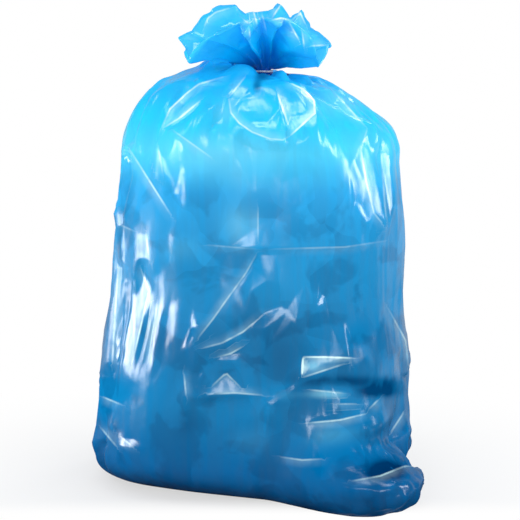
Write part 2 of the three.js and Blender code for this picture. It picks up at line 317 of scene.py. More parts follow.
class FilmGrid:
    """The film as fine rows of points over the solid, its body calmed so that new creases can be laid."""

    def __init__(self, solid, columns):
        levels = solid[:, :, 2].mean(axis=1)
        self.rim = int(np.argmax(levels))
        self.neck = int(np.argmin(np.abs(levels[: self.rim + 1] - TIE_LOW.z)))
        self.outer = solid[: self.rim + 1]
        self.row_places = self.spaced_rows()
        # Columns stand closest on the front
        share = np.arange(columns) / columns
        self.column_places = solid.shape[1] * (share - 0.12 * np.cos(2 * math.pi * share))
        self.share = self.column_places / solid.shape[1]
        self.body = self.row_places <= self.neck
        self.loose = self.row_places >= self.neck + 1
        self.lined = self.row_places >= self.neck + 2
        self.points = self.read(self.calmed())
        self.normals = normals_of(self.points)
        up = np.linalg.norm(np.diff(self.points, axis=0), axis=2)
        self.rise = np.vstack([np.zeros((1, columns)), np.cumsum(up, axis=0)])

    def spaced_rows(self):
        """Where the film's rows are read from the solid's rows, closest on the shoulder and the ruffle."""
        foot, shoulder, neck = 6, self.neck - 15, self.neck
        spans = (
            (0, foot, 4),
            (foot, shoulder, 5),
            (shoulder, neck, 6),
            (neck, neck + 1, 3),
            (neck + 1, self.rim, 6),
        )
        places = [np.arange(low, high, 1 / steps) for low, high, steps in spans]
        return np.append(np.concatenate(places), self.rim)

    def calmed(self):
        """The solid's rows with the creases of its body softened."""
        rows = self.neck - 1
        loosen = smoothstep(4, 12, np.arange(rows))[:, None, None]
        plain = self.outer.copy()
        plain[:rows] += loosen * (softened(self.outer, 6, 6) - self.outer)[:rows]
        return plain

    def read(self, rows):
        return finer(rows, self.row_places, self.column_places)

    def solid_folds(self):
        """How far the solid stands off the calmed film at each point."""
        return np.sum((self.read(self.outer) - self.points) * self.normals, axis=2)


class Zones:
    """How far each film point belongs to each part of the bag, from 0 to 1."""

    def __init__(self, grid, film):
        x, y, z = (grid.points[:, :, axis] for axis in range(3))
        sideways, backward = grid.normals[:, :, 0], grid.normals[:, :, 1]
        self.shoulder = smoothstep(*SHOULDER_HEIGHT, z)
        self.filled = 1 - smoothstep(*EMPTY_HEIGHT, z)
        # The folded corner at the foot
        self.corner = smoothstep(*CORNER_ACROSS, x) * (1 - smoothstep(*CORNER_TOP, z))
        self.corner *= 1 - smoothstep(*CORNER_DEEP, y)
        self.back = smoothstep(*FACING, backward)
        # The calm front reaches a little round the right of the bag
        front = smoothstep(*FACING, 0.35 * np.maximum(sideways, 0) - backward)
        self.calm = 1 - film.front_calm * front * (1 - self.shoulder)
        # Body film that neither the floor nor the tie holds
        between = smoothstep(*FREE_OF_FLOOR, z) * smoothstep(*FREE_OF_TIE, NECK.z - z)
        corner_free = self.corner * smoothstep(*CORNER_FREE_OF_FLOOR, z)
        self.free = np.maximum(between, corner_free) * grid.body[:, None]


# Folds


class Crease:
    """A line along which the film is folded, and how far it stands out there in millimetres."""

    def __init__(self, height, *line, open_start=False):
        self.height = height
        self.line = np.array(line, float)
        self.open_start = open_start

    def points(self):
        """Evenly spaced points on the line, with the height in metres, less towards the closed ends."""
        count = len(self.line)
        places = np.linspace(0, count - 1, 10 * count)
        curve = spline_weights(places, count, closed=False) @ self.line
        run = np.append(0, np.cumsum(np.linalg.norm(np.diff(curve, axis=0), axis=1)))
        at = np.linspace(0, run[-1], max(3, round(run[-1] / FOLD_SPACING) + 1))
        share = at / run[-1]
        height = np.full(len(at), self.height * MILLIMETRE)
        if not self.open_start:
            height *= smoothstep(-0.1, 0.3, share)
        height *= smoothstep(-0.1, 0.3, 1 - share)
        return np.stack([np.interp(at, run, curve[:, 0]), np.interp(at, run, curve[:, 1]), height], axis=1)


class Facet:
    """A flat patch of film between corners on the front drawing."""

    def __init__(self, *corners):
        self.corners = np.array(corners, float)

    def outline(self):
        """Evenly spaced points round the patch."""
        places = []
        for start, end in zip(self.corners, np.roll(self.corners, -1, axis=0)):
            pieces = max(1, round(np.linalg.norm(end - start) / FOLD_SPACING))
            places += [start + (end - start) * n / pieces for n in range(pieces)]
        return places

    def covers(self, across, down):
        """True at each place that is inside the patch."""
        inside = np.zeros(across.shape, bool)
        for (x0, y0), (x1, y1) in zip(self.corners, np.roll(self.corners, -1, axis=0)):
            if y0 != y1:
                beside = across < x0 + (x1 - x0) * (down - y0) / (y1 - y0)
                inside ^= ((y0 > down) != (y1 > down)) & beside
        return inside


def on_drawing(points, stage):
    """Where each point shows on the front drawing."""
    turn, pitch = stage.turn, stage.pitch
    ahead = np.array(
        (
            -math.sin(turn) * math.cos(pitch),
            math.cos(turn) * math.cos(pitch),
            -math.sin(pitch),
        )
    )
    right = np.array((math.cos(turn), math.sin(turn), 0.0))
    up = np.cross(right, ahead)
    ray = points - np.array(stage.eye)
    scale = DRAWING * stage.lens / SENSOR / (ray @ ahead)
    return DRAWING / 2 + scale * (ray @ right), DRAWING / 2 - scale * (ray @ up)


def on_front(points, normals, stage):
    """True at each point that is turned towards the viewing point."""
    return np.sum(normals * (np.array(stage.eye) - points), axis=2) > 0


# Creases on the front: how far they stand out, and their places on the front drawing
FRONT_CREASES = (
    # Tucks under the tie
    Crease(-7, (270, 71), (266, 81), open_start=True),
    Crease(-6, (260, 77), (254, 85), (250, 92), open_start=True),
    Crease(-3, (243, 66), (205, 72), (184, 84)),
    Crease(-3, (238, 80), (222, 98), (210, 113)),
    # Pleat from the neck and rim of the puffed lobe
    Crease(4, (245, 77), (236, 89), (228, 100), (230, 113), (238, 124), (252, 134), (270, 141), (284, 142)),
    Crease(-3, (218, 130), (232, 136), (250, 147), (272, 152), (294, 148), (314, 128), (322, 112)),
    # Slack film under the shoulders
    Crease(2, (172, 132), (200, 152), (228, 172)),
    Crease(2, (197, 175), (185, 212)),
    # Level packing crease
    Crease(2, (205, 246), (259, 249), (345, 247), (386, 241)),
    Crease(-2, (205, 250), (259, 253), (345, 251), (386, 245)),
    Crease(2, (168, 235), (197, 236)),
    Crease(3, (362, 229), (378, 236), (392, 231)),
    # Hollows beside the flat patches
    Crease(-1.5, (130, 262), (124, 310), (119, 366)),
    Crease(-1.5, (156, 280), (150, 325), (140, 366)),
    Crease(-2, (168, 290), (165, 330), (159, 366)),
    Crease(-2, (218, 372), (246, 366), (266, 346)),
    Crease(-5, (304, 387), (335, 384), (375, 389)),
    Crease(-3, (412, 374), (390, 373), (378, 381), open_start=True),
    Crease(-3, (206, 404), (236, 402), (256, 404)),
    Crease(2, (240, 418), (264, 417)),
    Crease(-1.5, (306, 418), (340, 415), (368, 407)),
    Crease(1.5, (306, 424), (340, 421), (367, 413)),
    Crease(2, (278, 466), (300, 460), (323, 459)),
    # The folded corner at the foot
    Crease(-9, (364, 472), (382, 467), (403, 458)),
    Crease(4, (386, 492), (400, 486), (416, 480)),
    Crease(-5, (382, 500), (400, 494), (416, 488)),
    Crease(3, (380, 508), (398, 503), (410, 498)),
    Crease(-7, (373, 514), (374, 502), (378, 492), open_start=True),
)

# Flat patches of film that a softbox shines in, as corners on the front drawing
FRONT_FACETS = (
    # The left of the shoulder
    Facet((200, 84), (187, 92), (178, 101), (182, 104), (192, 96), (204, 88)),
    Facet((174, 105), (161, 126), (165, 128), (178, 108)),
    Facet((201, 101), (184, 114), (171, 124), (173, 128), (187, 118), (203, 105)),
    Facet((212, 123), (222, 118), (226, 118), (225, 123), (219, 126)),
    # The puffed lobe
    Facet(
        (277, 94), (282, 95), (288, 108), (291, 116), (314, 113), (303, 126), (292, 136),
        (286, 128), (282, 116), (280, 107),
    ),
    Facet((292, 83), (303, 88), (313, 98), (316, 107), (312, 106), (308, 100), (300, 92), (291, 87)),
    Facet((242, 98), (254, 97), (256, 110), (244, 111)),
    Facet((254, 121), (269, 120), (269, 126), (256, 127)),
    # The right shoulder and flank
    Facet((324, 86), (331, 92), (333, 103), (327, 99)),
    Facet((336, 94), (351, 106), (363, 119), (358, 120), (346, 112), (335, 100)),
    Facet((367, 131), (360, 150), (365, 180), (373, 213), (382, 224), (380, 200), (375, 170), (372, 146)),
    Facet((356, 199), (363, 223), (368, 222), (363, 206)),
    Facet((383, 155), (387, 208), (391, 208), (388, 155)),
    # The left flank
    Facet((129, 149), (149, 181), (171, 216), (175, 213), (158, 180), (137, 149)),
    Facet((158, 145), (166, 175), (172, 196), (175, 195), (170, 175), (162, 145)),
    Facet((118, 215), (124, 215), (123, 227), (117, 227)),
    Facet((138, 235), (148, 235), (147, 260), (140, 258)),
    Facet((118, 266), (122, 268), (115, 363), (108, 363)),
    Facet((142, 270), (150, 291), (144, 325), (134, 364), (124, 364), (131, 310), (138, 285)),
    Facet((159, 305), (163, 308), (154, 364), (147, 364), (155, 330)),
    Facet((101, 373), (112, 371), (113, 379), (102, 382)),
    # Slack film across the front
    Facet((256, 259), (249, 278), (233, 298), (200, 340), (196, 337), (227, 294), (243, 274)),
    Facet((264, 314), (246, 334), (223, 347), (199, 350), (197, 346), (220, 340), (243, 327)),
    Facet((206, 357), (222, 354), (241, 351), (234, 361), (219, 362)),
    Facet((282, 306), (287, 307), (295, 324), (291, 321)),
    Facet((316, 307), (322, 294), (325, 294), (323, 304)),
    Facet((191, 306), (195, 308), (195, 327), (191, 325)),
    Facet((302, 358), (346, 358), (324, 366), (302, 373)),
    Facet((267, 402), (284, 389), (293, 384), (295, 388), (288, 395), (272, 406)),
    Facet((206, 396), (226, 373), (243, 388), (264, 396), (238, 394)),
    Facet((183, 374), (187, 374), (187, 396), (183, 396)),
    Facet((194, 374), (198, 374), (198, 386), (194, 390)),
    Facet((388, 307), (399, 325), (407, 343), (408, 362), (395, 360)),
    # The foot
    Facet((101, 446), (104, 430), (117, 428), (112, 441)),
    Facet((120, 447), (123, 438), (134, 439), (131, 448)),
    Facet((103, 404), (122, 397), (124, 401), (104, 408)),
    Facet((337, 475), (342, 467), (354, 467), (351, 475)),
    Facet((352, 484), (380, 478), (405, 467), (416, 465), (417, 469), (404, 472), (381, 483), (353, 488)),
)


def nearest_place(across, down, hidden, x, y):
    """Row and column of the film point that shows at a place on the front drawing."""
    gap = np.where(hidden, 1e9, (across - x) ** 2 + (down - y) ** 2)
    return np.unravel_index(np.argmin(gap), gap.shape)


def unit(way):
    return way / np.linalg.norm(way)


def tilt_to_softbox(here, out, eye):
    """Heights round a flat patch, which is tilted so that the softbox that it faces most shines in it."""
    middle = here.mean(axis=0)
    lamps = [np.array(values[0]) for values in SOFTBOXES.values()]
    shining = [unit(unit(eye - middle) + unit(lamp - middle)) for lamp in lamps]
    way = max(shining, key=lambda w: w @ out.mean(axis=0))
    least_facing = 0.3
    height = (middle - here) @ way / np.maximum(out @ way, least_facing)
    return height * min(1, FACET_TILT / np.abs(height).max()) + FACET_RISE


def front_folds(grid, lift, stage):
    """Lines of film points along the creases and round the flat patches, and where the patches are.

    Each point of a line is a row, a column and a height.
    """
    across, down = on_drawing(grid.points, stage)
    hidden = ~on_front(grid.points, grid.normals, stage)
    lines = []
    for crease in FRONT_CREASES:
        line = []
        for x, y, height in crease.points():
            r, c = nearest_place(across, down, hidden, x, y)
            line.append((r, c, lift[r, c] + height))
        lines.append(line)
    smooth = np.zeros(hidden.shape, bool)
    for facet in FRONT_FACETS:
        smooth |= facet.covers(across, down) & ~hidden
        edge = [nearest_place(across, down, hidden, x, y) for x, y in facet.outline()]
        here = np.array([grid.points[place] for place in edge])
        out = np.array([grid.normals[place] for place in edge])
        height = tilt_to_softbox(here, out, np.array(stage.eye))
        line = [(r, c, h) for (r, c), h in zip(edge, height)]
        lines.append(line + line[:1])
    return lines, smooth


def crease_points(grid, places, level, lift, rough, scatter, lines, smooth):
    """Points that the creased film hangs on, and the pairs of them that a laid fold joins.

    Each is a place across, a place up and a height. The scattered points keep clear of the laid folds.
    """
    random = np.random.default_rng(scatter.seed)
    count = scatter.count
    column, row = np.meshgrid(np.arange(count), np.arange(int(level.max()) + 3))
    across = (column + random.uniform(-STRAY, STRAY, column.shape) + 0.5 * (row % 2)) % count
    up = row - 0.5 + random.uniform(-STRAY, STRAY, row.shape)
    chance = random.uniform(-1, 1, row.shape)
    sites, joined = [], []
    for line in lines:
        first = len(sites)
        sites += [(places[c] % count, level[r, c], height) for r, c, height in line]
        joined += [(n, n + 1) for n in range(first, len(sites) - 1)]
    taken = np.array([grid.points[r, c] for line in lines for r, c, height in line]).reshape(-1, 3)
    overlap = 3
    for x, y, push in zip(across.ravel(), up.ravel(), chance.ravel()):
        c = int(np.argmin(np.abs((places - x + count / 2) % count - count / 2)))
        r = int(np.argmin(np.abs(level[:, c] - y)))
        if lines:
            gap = np.min(np.linalg.norm(taken - grid.points[r, c], axis=1))
            if smooth[r, c] or gap < FOLD_CLEARANCE:
                continue
        height = lift[r, c] + rough[r, c] * push
        turns = (x - count, x, x + count)
        sites += [(at, y, height) for at in turns if -overlap < at < count + overlap]
    return np.array(sites), joined


def creased(grid, rise, lift, rough, scatter, lines=(), smooth=None):
    """Heights over the film, with flat facets between scattered points and laid folds."""
    places = grid.share * scatter.count
    level = rise / scatter.tall
    sites, joined = crease_points(grid, places, level, lift, rough, scatter, lines, smooth)
    flat = [Vector(site) for site in sites[:, :2]]
    made = geometry.delaunay_2d_cdt(flat, joined, [], 0, 1e-6)
    corners, faces, origins = made[0], made[2], made[3]
    spot = np.array([corner[:] for corner in corners])
    high = np.empty(len(spot))
    for number, origin in enumerate(origins):
        # Where two folds cross, the height is that of the nearest points
        near = origin or np.argsort(np.linalg.norm(sites[:, :2] - spot[number], axis=1))[:4]
        high[number] = sites[list(near), 2].mean()
    around = places % scatter.count
    result = lift.copy()
    for face in faces:
        lay_facet(result, around, level, spot[list(face)], high[list(face)])
    return result


def lay_facet(result, around, level, corners, heights):
    """Sets the heights of the film points inside one flat facet."""
    a, b, c = corners
    low, top = np.min(corners, axis=0), np.max(corners, axis=0)
    near = np.nonzero((around >= low[0]) & (around <= top[0]))[0]
    area = (b[0] - a[0]) * (c[1] - a[1]) - (c[0] - a[0]) * (b[1] - a[1])
    if not len(near) or abs(area) < 1e-9:
        return
    dx = around[near] - a[0]
    dy = level[:, near] - a[1]
    second = (dx * (c[1] - a[1]) - dy * (c[0] - a[0])) / area
    third = (dy * (b[0] - a[0]) - dx * (b[1] - a[1])) / area
    first = 1 - second - third
    inside = (first >= -1e-9) & (second >= -1e-9) & (third >= -1e-9)
    value = first * heights[0] + second * heights[1] + third * heights[2]
    result[:, near] = np.where(inside, value, result[:, near])


# Slack film


def cut_film(points):
    """The film as it was cut: wider than the form under it, most of all where it is gathered."""
    centre = points.mean(axis=1, keepdims=True)
    height = points[:, :, 2]
    out = points - centre
    turn = np.arctan2(out[:, :, 1], out[:, :, 0])
    # Spare width: a little all over, more on the flanks, and most on the gathered shoulder
    shoulder = smoothstep(0.5, 0.62, height)
    flank = np.cos(turn) ** 2 * (1 - shoulder)
    wide = 1.008 + 0.03 * flank + 0.125 * shoulder
    cut = points.copy()
    cut[:, :, :2] = centre[:, :, :2] + out[:, :, :2] * wide[:, :, None]
    # Spare height: most at the lower right of the front, which sags
    low = 1 - smoothstep(0.08, 0.24, height)
    right_front = np.clip(np.cos(turn + math.radians(40)), 0, 1)
    tall = 1.01 + 0.05 * low * right_front
    rise = np.diff(height, axis=0) * (tall[1:] + tall[:-1]) / 2
    cut[1:, :, 2] = height[:1] + np.cumsum(rise, axis=0)
    return cut


def gathered_film(points):
    """The loose film above the tie as it was cut, wider towards its rim than the ruffle that it makes."""
    reach = np.linalg.norm(points - points[:1].mean(axis=1, keepdims=True), axis=2)
    wide = 1 + 0.3 * smoothstep(0.01, 0.07, reach)
    cut = points.copy()
    cut[:, :, :2] = NECK[:2] + (points[:, :, :2] - NECK[:2]) * wide[:, :, None]
    return cut


def band_faces(rows, columns, first=0):
    """Four-cornered faces between closed rows of points, from the given point on."""
    here = np.arange(columns)
    after = (here + 1) % columns
    faces = []
    for row in range(rows - 1):
        low = first + row * columns
        high = low + columns
        faces += np.stack([low + here, low + after, high + after, high + here], axis=1).tolist()
    return faces


def slack_object(form, cut, weight):
    """The film as it was cut, keyed to be drawn onto the form, and held to it by each point's weight."""
    mesh = bpy.data.meshes.new("slack_film")
    mesh.from_pydata(cut.reshape(-1, 3).tolist(), [], band_faces(*form.shape[:2]))
    slack = bpy.data.objects.new("slack_film", mesh)
    bpy.context.scene.collection.objects.link(slack)
    slack.shape_key_add(name="cut")
    drawn = slack.shape_key_add(name="form")
    drawn.data.foreach_set("co", form.astype(np.float32).ravel())
    for value, number in ((0, 1), (1, 8)):
        drawn.value = value
        drawn.keyframe_insert("value", frame=number)
    hold = slack.vertex_groups.new(name="hold")
    weight = weight.ravel().round(3)
    for value in np.unique(weight):
        hold.add(np.nonzero(weight == value)[0].tolist(), float(value), "REPLACE")
    return slack


def add_cloth(slack, film):
    """Makes the slack film a thin sheet that bends easily and doesn't fall."""
    cloth = slack.modifiers.new("film", "CLOTH")
    cloth.settings.quality = 5
    cloth.settings.mass = 0.1
    cloth.settings.tension_stiffness = 20
    cloth.settings.compression_stiffness = 20
    cloth.settings.shear_stiffness = 10
    cloth.settings.bending_stiffness = film.stiffness
    cloth.settings.air_damping = 3
    cloth.settings.vertex_group_mass = "hold"
    cloth.settings.effector_weights.gravity = 0
    cloth.collision_settings.use_collision = False
    cloth.collision_settings.use_self_collision = False
    cloth.point_cache.frame_start = 1
    cloth.point_cache.frame_end = film.settle_frames


def settle(form, cut, weight, film):
    """How far each point moves when the film, cut too wide, is drawn onto the form and buckles."""
    scene = bpy.context.scene
    slack = slack_object(form, cut, weight)
    add_cloth(slack, film)
    for number in range(1, film.settle_frames + 1):
        scene.frame_set(number)
    settled = slack.evaluated_get(bpy.context.evaluated_depsgraph_get()).data
    moved = np.empty(form.size, np.float32)
    settled.vertices.foreach_get("co", moved)
    scene.frame_set(1)
    bpy.data.objects.remove(slack)
    return moved.reshape(form.shape) - form


def limited(moved, most):
    """Movements eased so that none is longer than the most."""
    size = np.linalg.norm(moved, axis=2, keepdims=True)
    return moved * most * np.tanh(size / most) / np.maximum(size, 1e-9)


def coarser(grid, first, last, step):
    """Rows for a simulation: the solid's rows from first to last, a step apart, with its columns doubled."""
    columns = np.arange(2 * grid.outer.shape[1]) / 2
    return finer(grid.outer, np.arange(first, last + 0.01, step), columns)


def body_wrinkles(grid, film):
    """Movement of the slack body film at the fine rows, without any change of the whole form."""
    step = 0.4
    form = coarser(grid, 0, grid.neck, step)
    height = form[:, :, 2]
    # The film clings to the filling, is looser on the shoulder, and is fast at the floor and the tie
    weight = 0.16 - 0.11 * smoothstep(0.5, 0.6, height)
    at_floor, at_tie = height < 0.004, height > NECK.z - 0.012
    weight[at_floor | at_tie] = 1.0
    moved = settle(form, cut_film(form), weight, film)
    moved = limited(moved - softened(moved, 60, 60), film.wrinkle_depth)
    return finer(moved, grid.row_places[grid.body] / step, grid.column_places * 2)


def ruffle_wrinkles(grid, film):
    """Movement of the loose film above the tie at the fine rows."""
    step = 0.34
    start = grid.neck + 1
    form = coarser(grid, start, grid.rim, step)
    # Loose but for the rows at the tie
    weight = np.full(form.shape[:2], 0.02)
    weight[:2] = 1.0
    moved = settle(form, gathered_film(form), weight, film)
    moved = limited(moved - softened(moved, 30, 10), 1.6 * film.wrinkle_depth)
    return finer(moved, (grid.row_places[grid.loose] - start) / step, grid.column_places * 2)


def slack_film(grid, film):
    """How far the slack film moves at each point."""
    slack = np.zeros(grid.points.shape)
    slack[grid.body] = body_wrinkles(grid, film)
    slack[grid.loose] = ruffle_wrinkles(grid, film)
    return slack


# The finished film


def body_height(grid, zones, slack, stage):
    """How far the body film stands off the calmed form, with its creases and flat patches."""
    lift = grid.solid_folds() * np.maximum(zones.calm, zones.corner)
    lift += np.sum(slack * grid.normals, axis=2) * zones.calm * (1 - 0.6 * zones.corner)
    rough = CREASE_DEPTH * (1 + zones.filled) * zones.calm + CORNER_DEPTH * zones.corner
    rough += BACK_DEPTH * zones.back
    lines, smooth = front_folds(grid, lift, stage)
    folds = creased(grid, grid.rise, lift, rough, BODY_FACETS, lines, smooth) * (1 - zones.shoulder)
    folds += creased(grid, grid.rise, lift, rough, SHOULDER_FACETS, lines, smooth) * zones.shoulder
    fine = CRINKLE_DEPTH + CORNER_DEPTH * zones.corner
    crinkles = creased(grid, grid.rise, np.zeros(lift.shape), fine, CRINKLES)
    return (np.where(smooth, folds, 0.92 * folds + 0.08 * lift) + crinkles) * zones.free


def bunched(grid, zones):
    """How far the left of the shoulder bunches up under the ruffle."""
    aside = grid.points[:, :, :2] - np.array(NECK[:2])
    reach = np.linalg.norm(aside, axis=2)
    left = smoothstep(0.0, 0.8, -aside[:, :, 0] / np.maximum(reach, 1e-6))
    ring = smoothstep(*BUNCH_INSIDE, reach) * (1 - smoothstep(*BUNCH_OUTSIDE, reach))
    return BUNCH_DEPTH * left * ring * zones.shoulder * grid.body[:, None]


def film_points(grid, film, stage):
    """The film's points: the calmed form with its creases, its bunched shoulder and its ruffle."""
    zones = Zones(grid, film)
    slack = slack_film(grid, film)
    height = body_height(grid, zones, slack, stage) + bunched(grid, zones)
    ruffle = np.maximum(grid.rise - grid.rise[grid.loose][0], 0)
    flare = smoothstep(*RUFFLE_FLARE, ruffle) * grid.loose[:, None]
    flat = np.zeros(ruffle.shape)
    height += flare * creased(grid, ruffle, flat, flat + RUFFLE_DEPTH, RUFFLE_FACETS)
    points = grid.points + grid.normals * height[:, :, None] + slack * flare[:, :, None]
    points[:, :, 2] = np.maximum(points[:, :, 2], 0)
    return points


def film_mesh(points, inner):
    """A closed mesh over the rows: base, body, loose film, and the loose film's inside."""
    rows = np.concatenate([points, inner])
    columns = rows.shape[1]
    floor_hub = rows[0].mean(axis=0)
    top_hub = rows[-1].mean(axis=0)
    base = [floor_hub + (rows[0] - floor_hub) * step for step in BASE_STEPS]
    vertices = np.concatenate([floor_hub[None], *base, rows.reshape(-1, 3), top_hub[None]])
    here = np.arange(columns)
    after = (here + 1) % columns
    last_row = len(vertices) - 1 - columns
    floor_fan = np.stack([np.zeros(columns, int), 1 + after, 1 + here], axis=1)
    top_fan = np.stack([last_row + here, last_row + after, np.full(columns, len(vertices) - 1)], axis=1)
    bands = band_faces(len(BASE_STEPS) + len(rows), columns, first=1)
    mesh = bpy.data.meshes.new("bag_film")
    mesh.from_pydata(vertices.tolist(), [], floor_fan.tolist() + bands + top_fan.tolist())
    mesh.update()
    mesh.shade_smooth()
    return mesh


# What the film's materials read at each point

# Patches of the front film: place and reach on the front drawing, how much paler the film is there,
# or darker where that is below 0, and how dull. Paler patches are painted highlights and sheen; darker
# ones are painted shade in folds, hollows and along the foot, or the filling showing through
FRONT_PAINTED_LIGHT_AND_TONES = (
    # Under the tie: painted shade under the ruffle, and in the tucks partly painted shade, partly gathered
    # film
    (222, 68, 26, 5, -0.45, 0.5),
    (263, 76, 8, 5, -0.9, 0.6),
    (257, 86, 5, 7, -0.8, 0.6),
    # The shoulder: paler patches are painted sheen, with dull patches and one a little darker
    (272, 100, 9, 12, 0.0, 0.6),
    (335, 102, 34, 20, 0.5, 0.0),
    (226, 112, 14, 14, 0.5, 0.0),
    (332, 138, 12, 8, 0.0, 0.8),
    (224, 143, 13, 9, 0.0, 0.8),
    (262, 150, 40, 16, 0.4, 0.0),
    (200, 155, 45, 25, 0.45, 0.0),
    (172, 158, 14, 28, 0.0, 0.7),
    (254, 165, 9, 26, 0.0, 0.8),
    (300, 172, 50, 12, -0.12, 0.0),
    (252, 178, 26, 16, 0.3, 0.0),
    # The flanks
    (140, 247, 14, 18, 0.0, 0.5),
    (402, 296, 10, 22, -0.2, 0.6),
    (130, 392, 36, 22, 0.0, 0.9),
    (105, 398, 12, 30, 0.0, 0.9),
    # The front: darker patches are the filling behind the film, paler ones are painted sheen
    (240, 225, 22, 24, 0.5, 0.0),
    (180, 248, 24, 16, 0.3, 0.0),
    (256, 275, 12, 22, 0.0, 0.8),
    (372, 330, 16, 20, -0.15, 0.5),
    (190, 335, 8, 14, 0.0, 0.7),
    (355, 336, 14, 20, 0.0, 0.9),
    (281, 357, 32, 42, -0.4, 0.0),
    (187, 423, 16, 18, -0.3, 0.0),
    (250, 440, 30, 18, 0.2, 0.0),
    # Folds at the lower right: painted shade in the folds, painted highlights where paler, and dull patches
    (328, 361, 12, 3, 0.4, 0.0),
    (312, 366, 10, 6, 0.9, 0.0),
    (345, 381, 45, 7, -0.6, 0.8),
    (390, 388, 20, 13, -0.4, 0.8),
    (372, 392, 20, 6, -0.7, 0.7),
    (283, 394, 18, 10, 0.4, 0.9),
    (328, 394, 24, 5, 0.7, 0.0),
    (366, 418, 10, 10, 0.0, 0.9),
    (338, 434, 30, 12, 0.3, 0.6),
    (320, 440, 20, 16, 0.12, 0.0),
    (350, 452, 40, 24, 0.0, 0.8),
    (318, 466, 9, 16, 0.0, 0.9),
    # The foot and its folded corner: painted shade in the corner's hollow and along the foot
    (388, 468, 22, 11, -0.9, 1.0),
    (384, 473, 16, 7, -0.8, 1.0),
    (352, 488, 26, 10, -0.1, 0.6),
    (200, 489, 70, 8, -0.3, 0.3),
    (300, 508, 50, 8, -0.3, 0.3),
)

# Creases that have whitened the film, with painted highlights beside them: how much, where above 1 paints the
# film white beside the line too, then the line on the front drawing, which runs so that the painted sheen
# fades back to blue on its right hand
WHITE_CREASES_AND_HIGHLIGHTS = (
    # The shoulder
    (0.8, (162, 127), (170, 109), (187, 93), (199, 84), (223, 77)),
    (0.7, (200, 101), (181, 117), (165, 127)),
    (0.35, (174, 131), (212, 158)),
    (0.5, (245, 77), (230, 96)),
    (0.8, (288, 137), (283, 140), (270, 139), (252, 132), (239, 123), (231, 113), (229, 100)),
    (1.5, (292, 84), (303, 89), (314, 100), (315, 113), (291, 135)),
    (1.5, (288, 124), (278, 95)),
    (0.5, (337, 95), (365, 126)),
    # The right flank
    (0.7, (367, 130), (361, 150), (366, 180), (374, 213), (382, 223)),
    (0.4, (386, 218), (381, 155)),
    (0.4, (388, 308), (406, 341), (408, 365)),
    # The left flank
    (0.6, (130, 150), (171, 215)),
    (0.35, (158, 145), (163, 175)),
    (0.5, (146, 233), (149, 260)),
    (0.9, (142, 272), (149, 291), (133, 360)),
    (0.6, (157, 305), (148, 362)),
    (0.7, (112, 362), (118, 268)),
    # Level packing crease
    (0.35, (118, 224), (134, 231)),
    (0.2, (207, 245), (256, 249)),
    (0.22, (274, 249), (345, 247), (385, 241)),
    # Slack film across the front
    (0.25, (258, 207), (258, 241)),
    (0.45, (256, 255), (246, 273), (230, 295), (213, 319), (198, 338)),
    (0.45, (263, 315), (243, 332), (222, 343), (203, 348)),
    (0.5, (242, 347), (230, 354), (217, 357)),
    (0.45, (262, 395), (236, 393), (207, 394)),
    (0.45, (212, 386), (226, 373), (240, 387)),
    (0.4, (186, 396), (184, 374)),
    # Folds at the lower right
    (2.0, (302, 374), (303, 358)),
    (1.1, (304, 357), (325, 357), (352, 358)),
    (0.5, (344, 364), (304, 377)),
    (0.5, (311, 390), (342, 393)),
    (0.4, (334, 404), (356, 404)),
    (0.4, (369, 409), (378, 400)),
    (0.6, (308, 423), (340, 420), (365, 414)),
    (0.4, (391, 432), (404, 412)),
    (0.35, (281, 457), (302, 460), (322, 459)),
    # The foot and its folded corner
    (0.4, (103, 397), (122, 405)),
    (0.4, (116, 446), (101, 428)),
    (0.4, (121, 437), (133, 447)),
    (0.45, (352, 481), (380, 476), (405, 466), (416, 466)),
    # The ruffle
    (0.8, (253, 9), (257, 24)),
    (0.7, (249, 27), (250, 37)),
    (0.9, (272, 20), (281, 18), (290, 20)),
    (0.7, (281, 4), (278, 9), (272, 18)),
    (0.9, (292, 20), (300, 12), (306, 25)),
    (0.9, (289, 22), (299, 40)),
    (0.6, (243, 19), (250, 24)),
    (0.5, (262, 14), (266, 30)),
    (0.7, (204, 27), (208, 18), (216, 12), (230, 8)),
    (0.7, (304, 46), (302, 31)),
    (0.6, (328, 45), (311, 46)),
)


def front_painted_light_and_tones(points, facing, stage):
    """How much paler or darker the front film is at each point, as painted highlights and shade or the
    filling, and how dull.
    """
    across, down = on_drawing(points, stage)
    painted_light_and_tone, dull = np.zeros(across.shape), np.zeros(across.shape)
    for x, y, wide, tall, amount, dullness in FRONT_PAINTED_LIGHT_AND_TONES:
        near = np.exp(-(((across - x) / wide) ** 2) - ((down - y) / tall) ** 2) * facing
        painted_light_and_tone += amount * near
        dull += dullness * near
    return painted_light_and_tone, dull


def white_creases_and_highlights(points, stage):
    """How far each point lies to the right of the nearest white crease or painted highlight line, its gap to
    it, and its whiteness.
    """
    here = np.stack(on_drawing(points, stage), axis=2)
    gap = np.full(points.shape[:2], DRAWING)
    side, white = gap.copy(), np.zeros(gap.shape)
    for amount, *line in WHITE_CREASES_AND_HIGHLIGHTS:
        corners = np.array(line, float)
        lengths = np.linalg.norm(np.diff(corners, axis=0), axis=1)
        passed = np.cumsum(lengths) - lengths
        for start, end, length_before, length_of in zip(corners, corners[1:], passed, lengths):
            along, away = end - start, here - start
            share = np.clip(away @ along / (along @ along), 0, 1)
            length = np.linalg.norm(away - share[:, :, None] * along, axis=2)
            right = np.sign(along[0] * away[:, :, 1] - along[1] * away[:, :, 0])
            nearer = length < gap
            gap = np.where(nearer, length, gap)
            side = np.where(nearer, length * right, side)
            travelled = (length_before + share * length_of) / lengths.sum()
            white = np.where(nearer, amount * (0.25 + 0.75 * np.sin(math.pi * travelled)), white)
    return side, gap, white


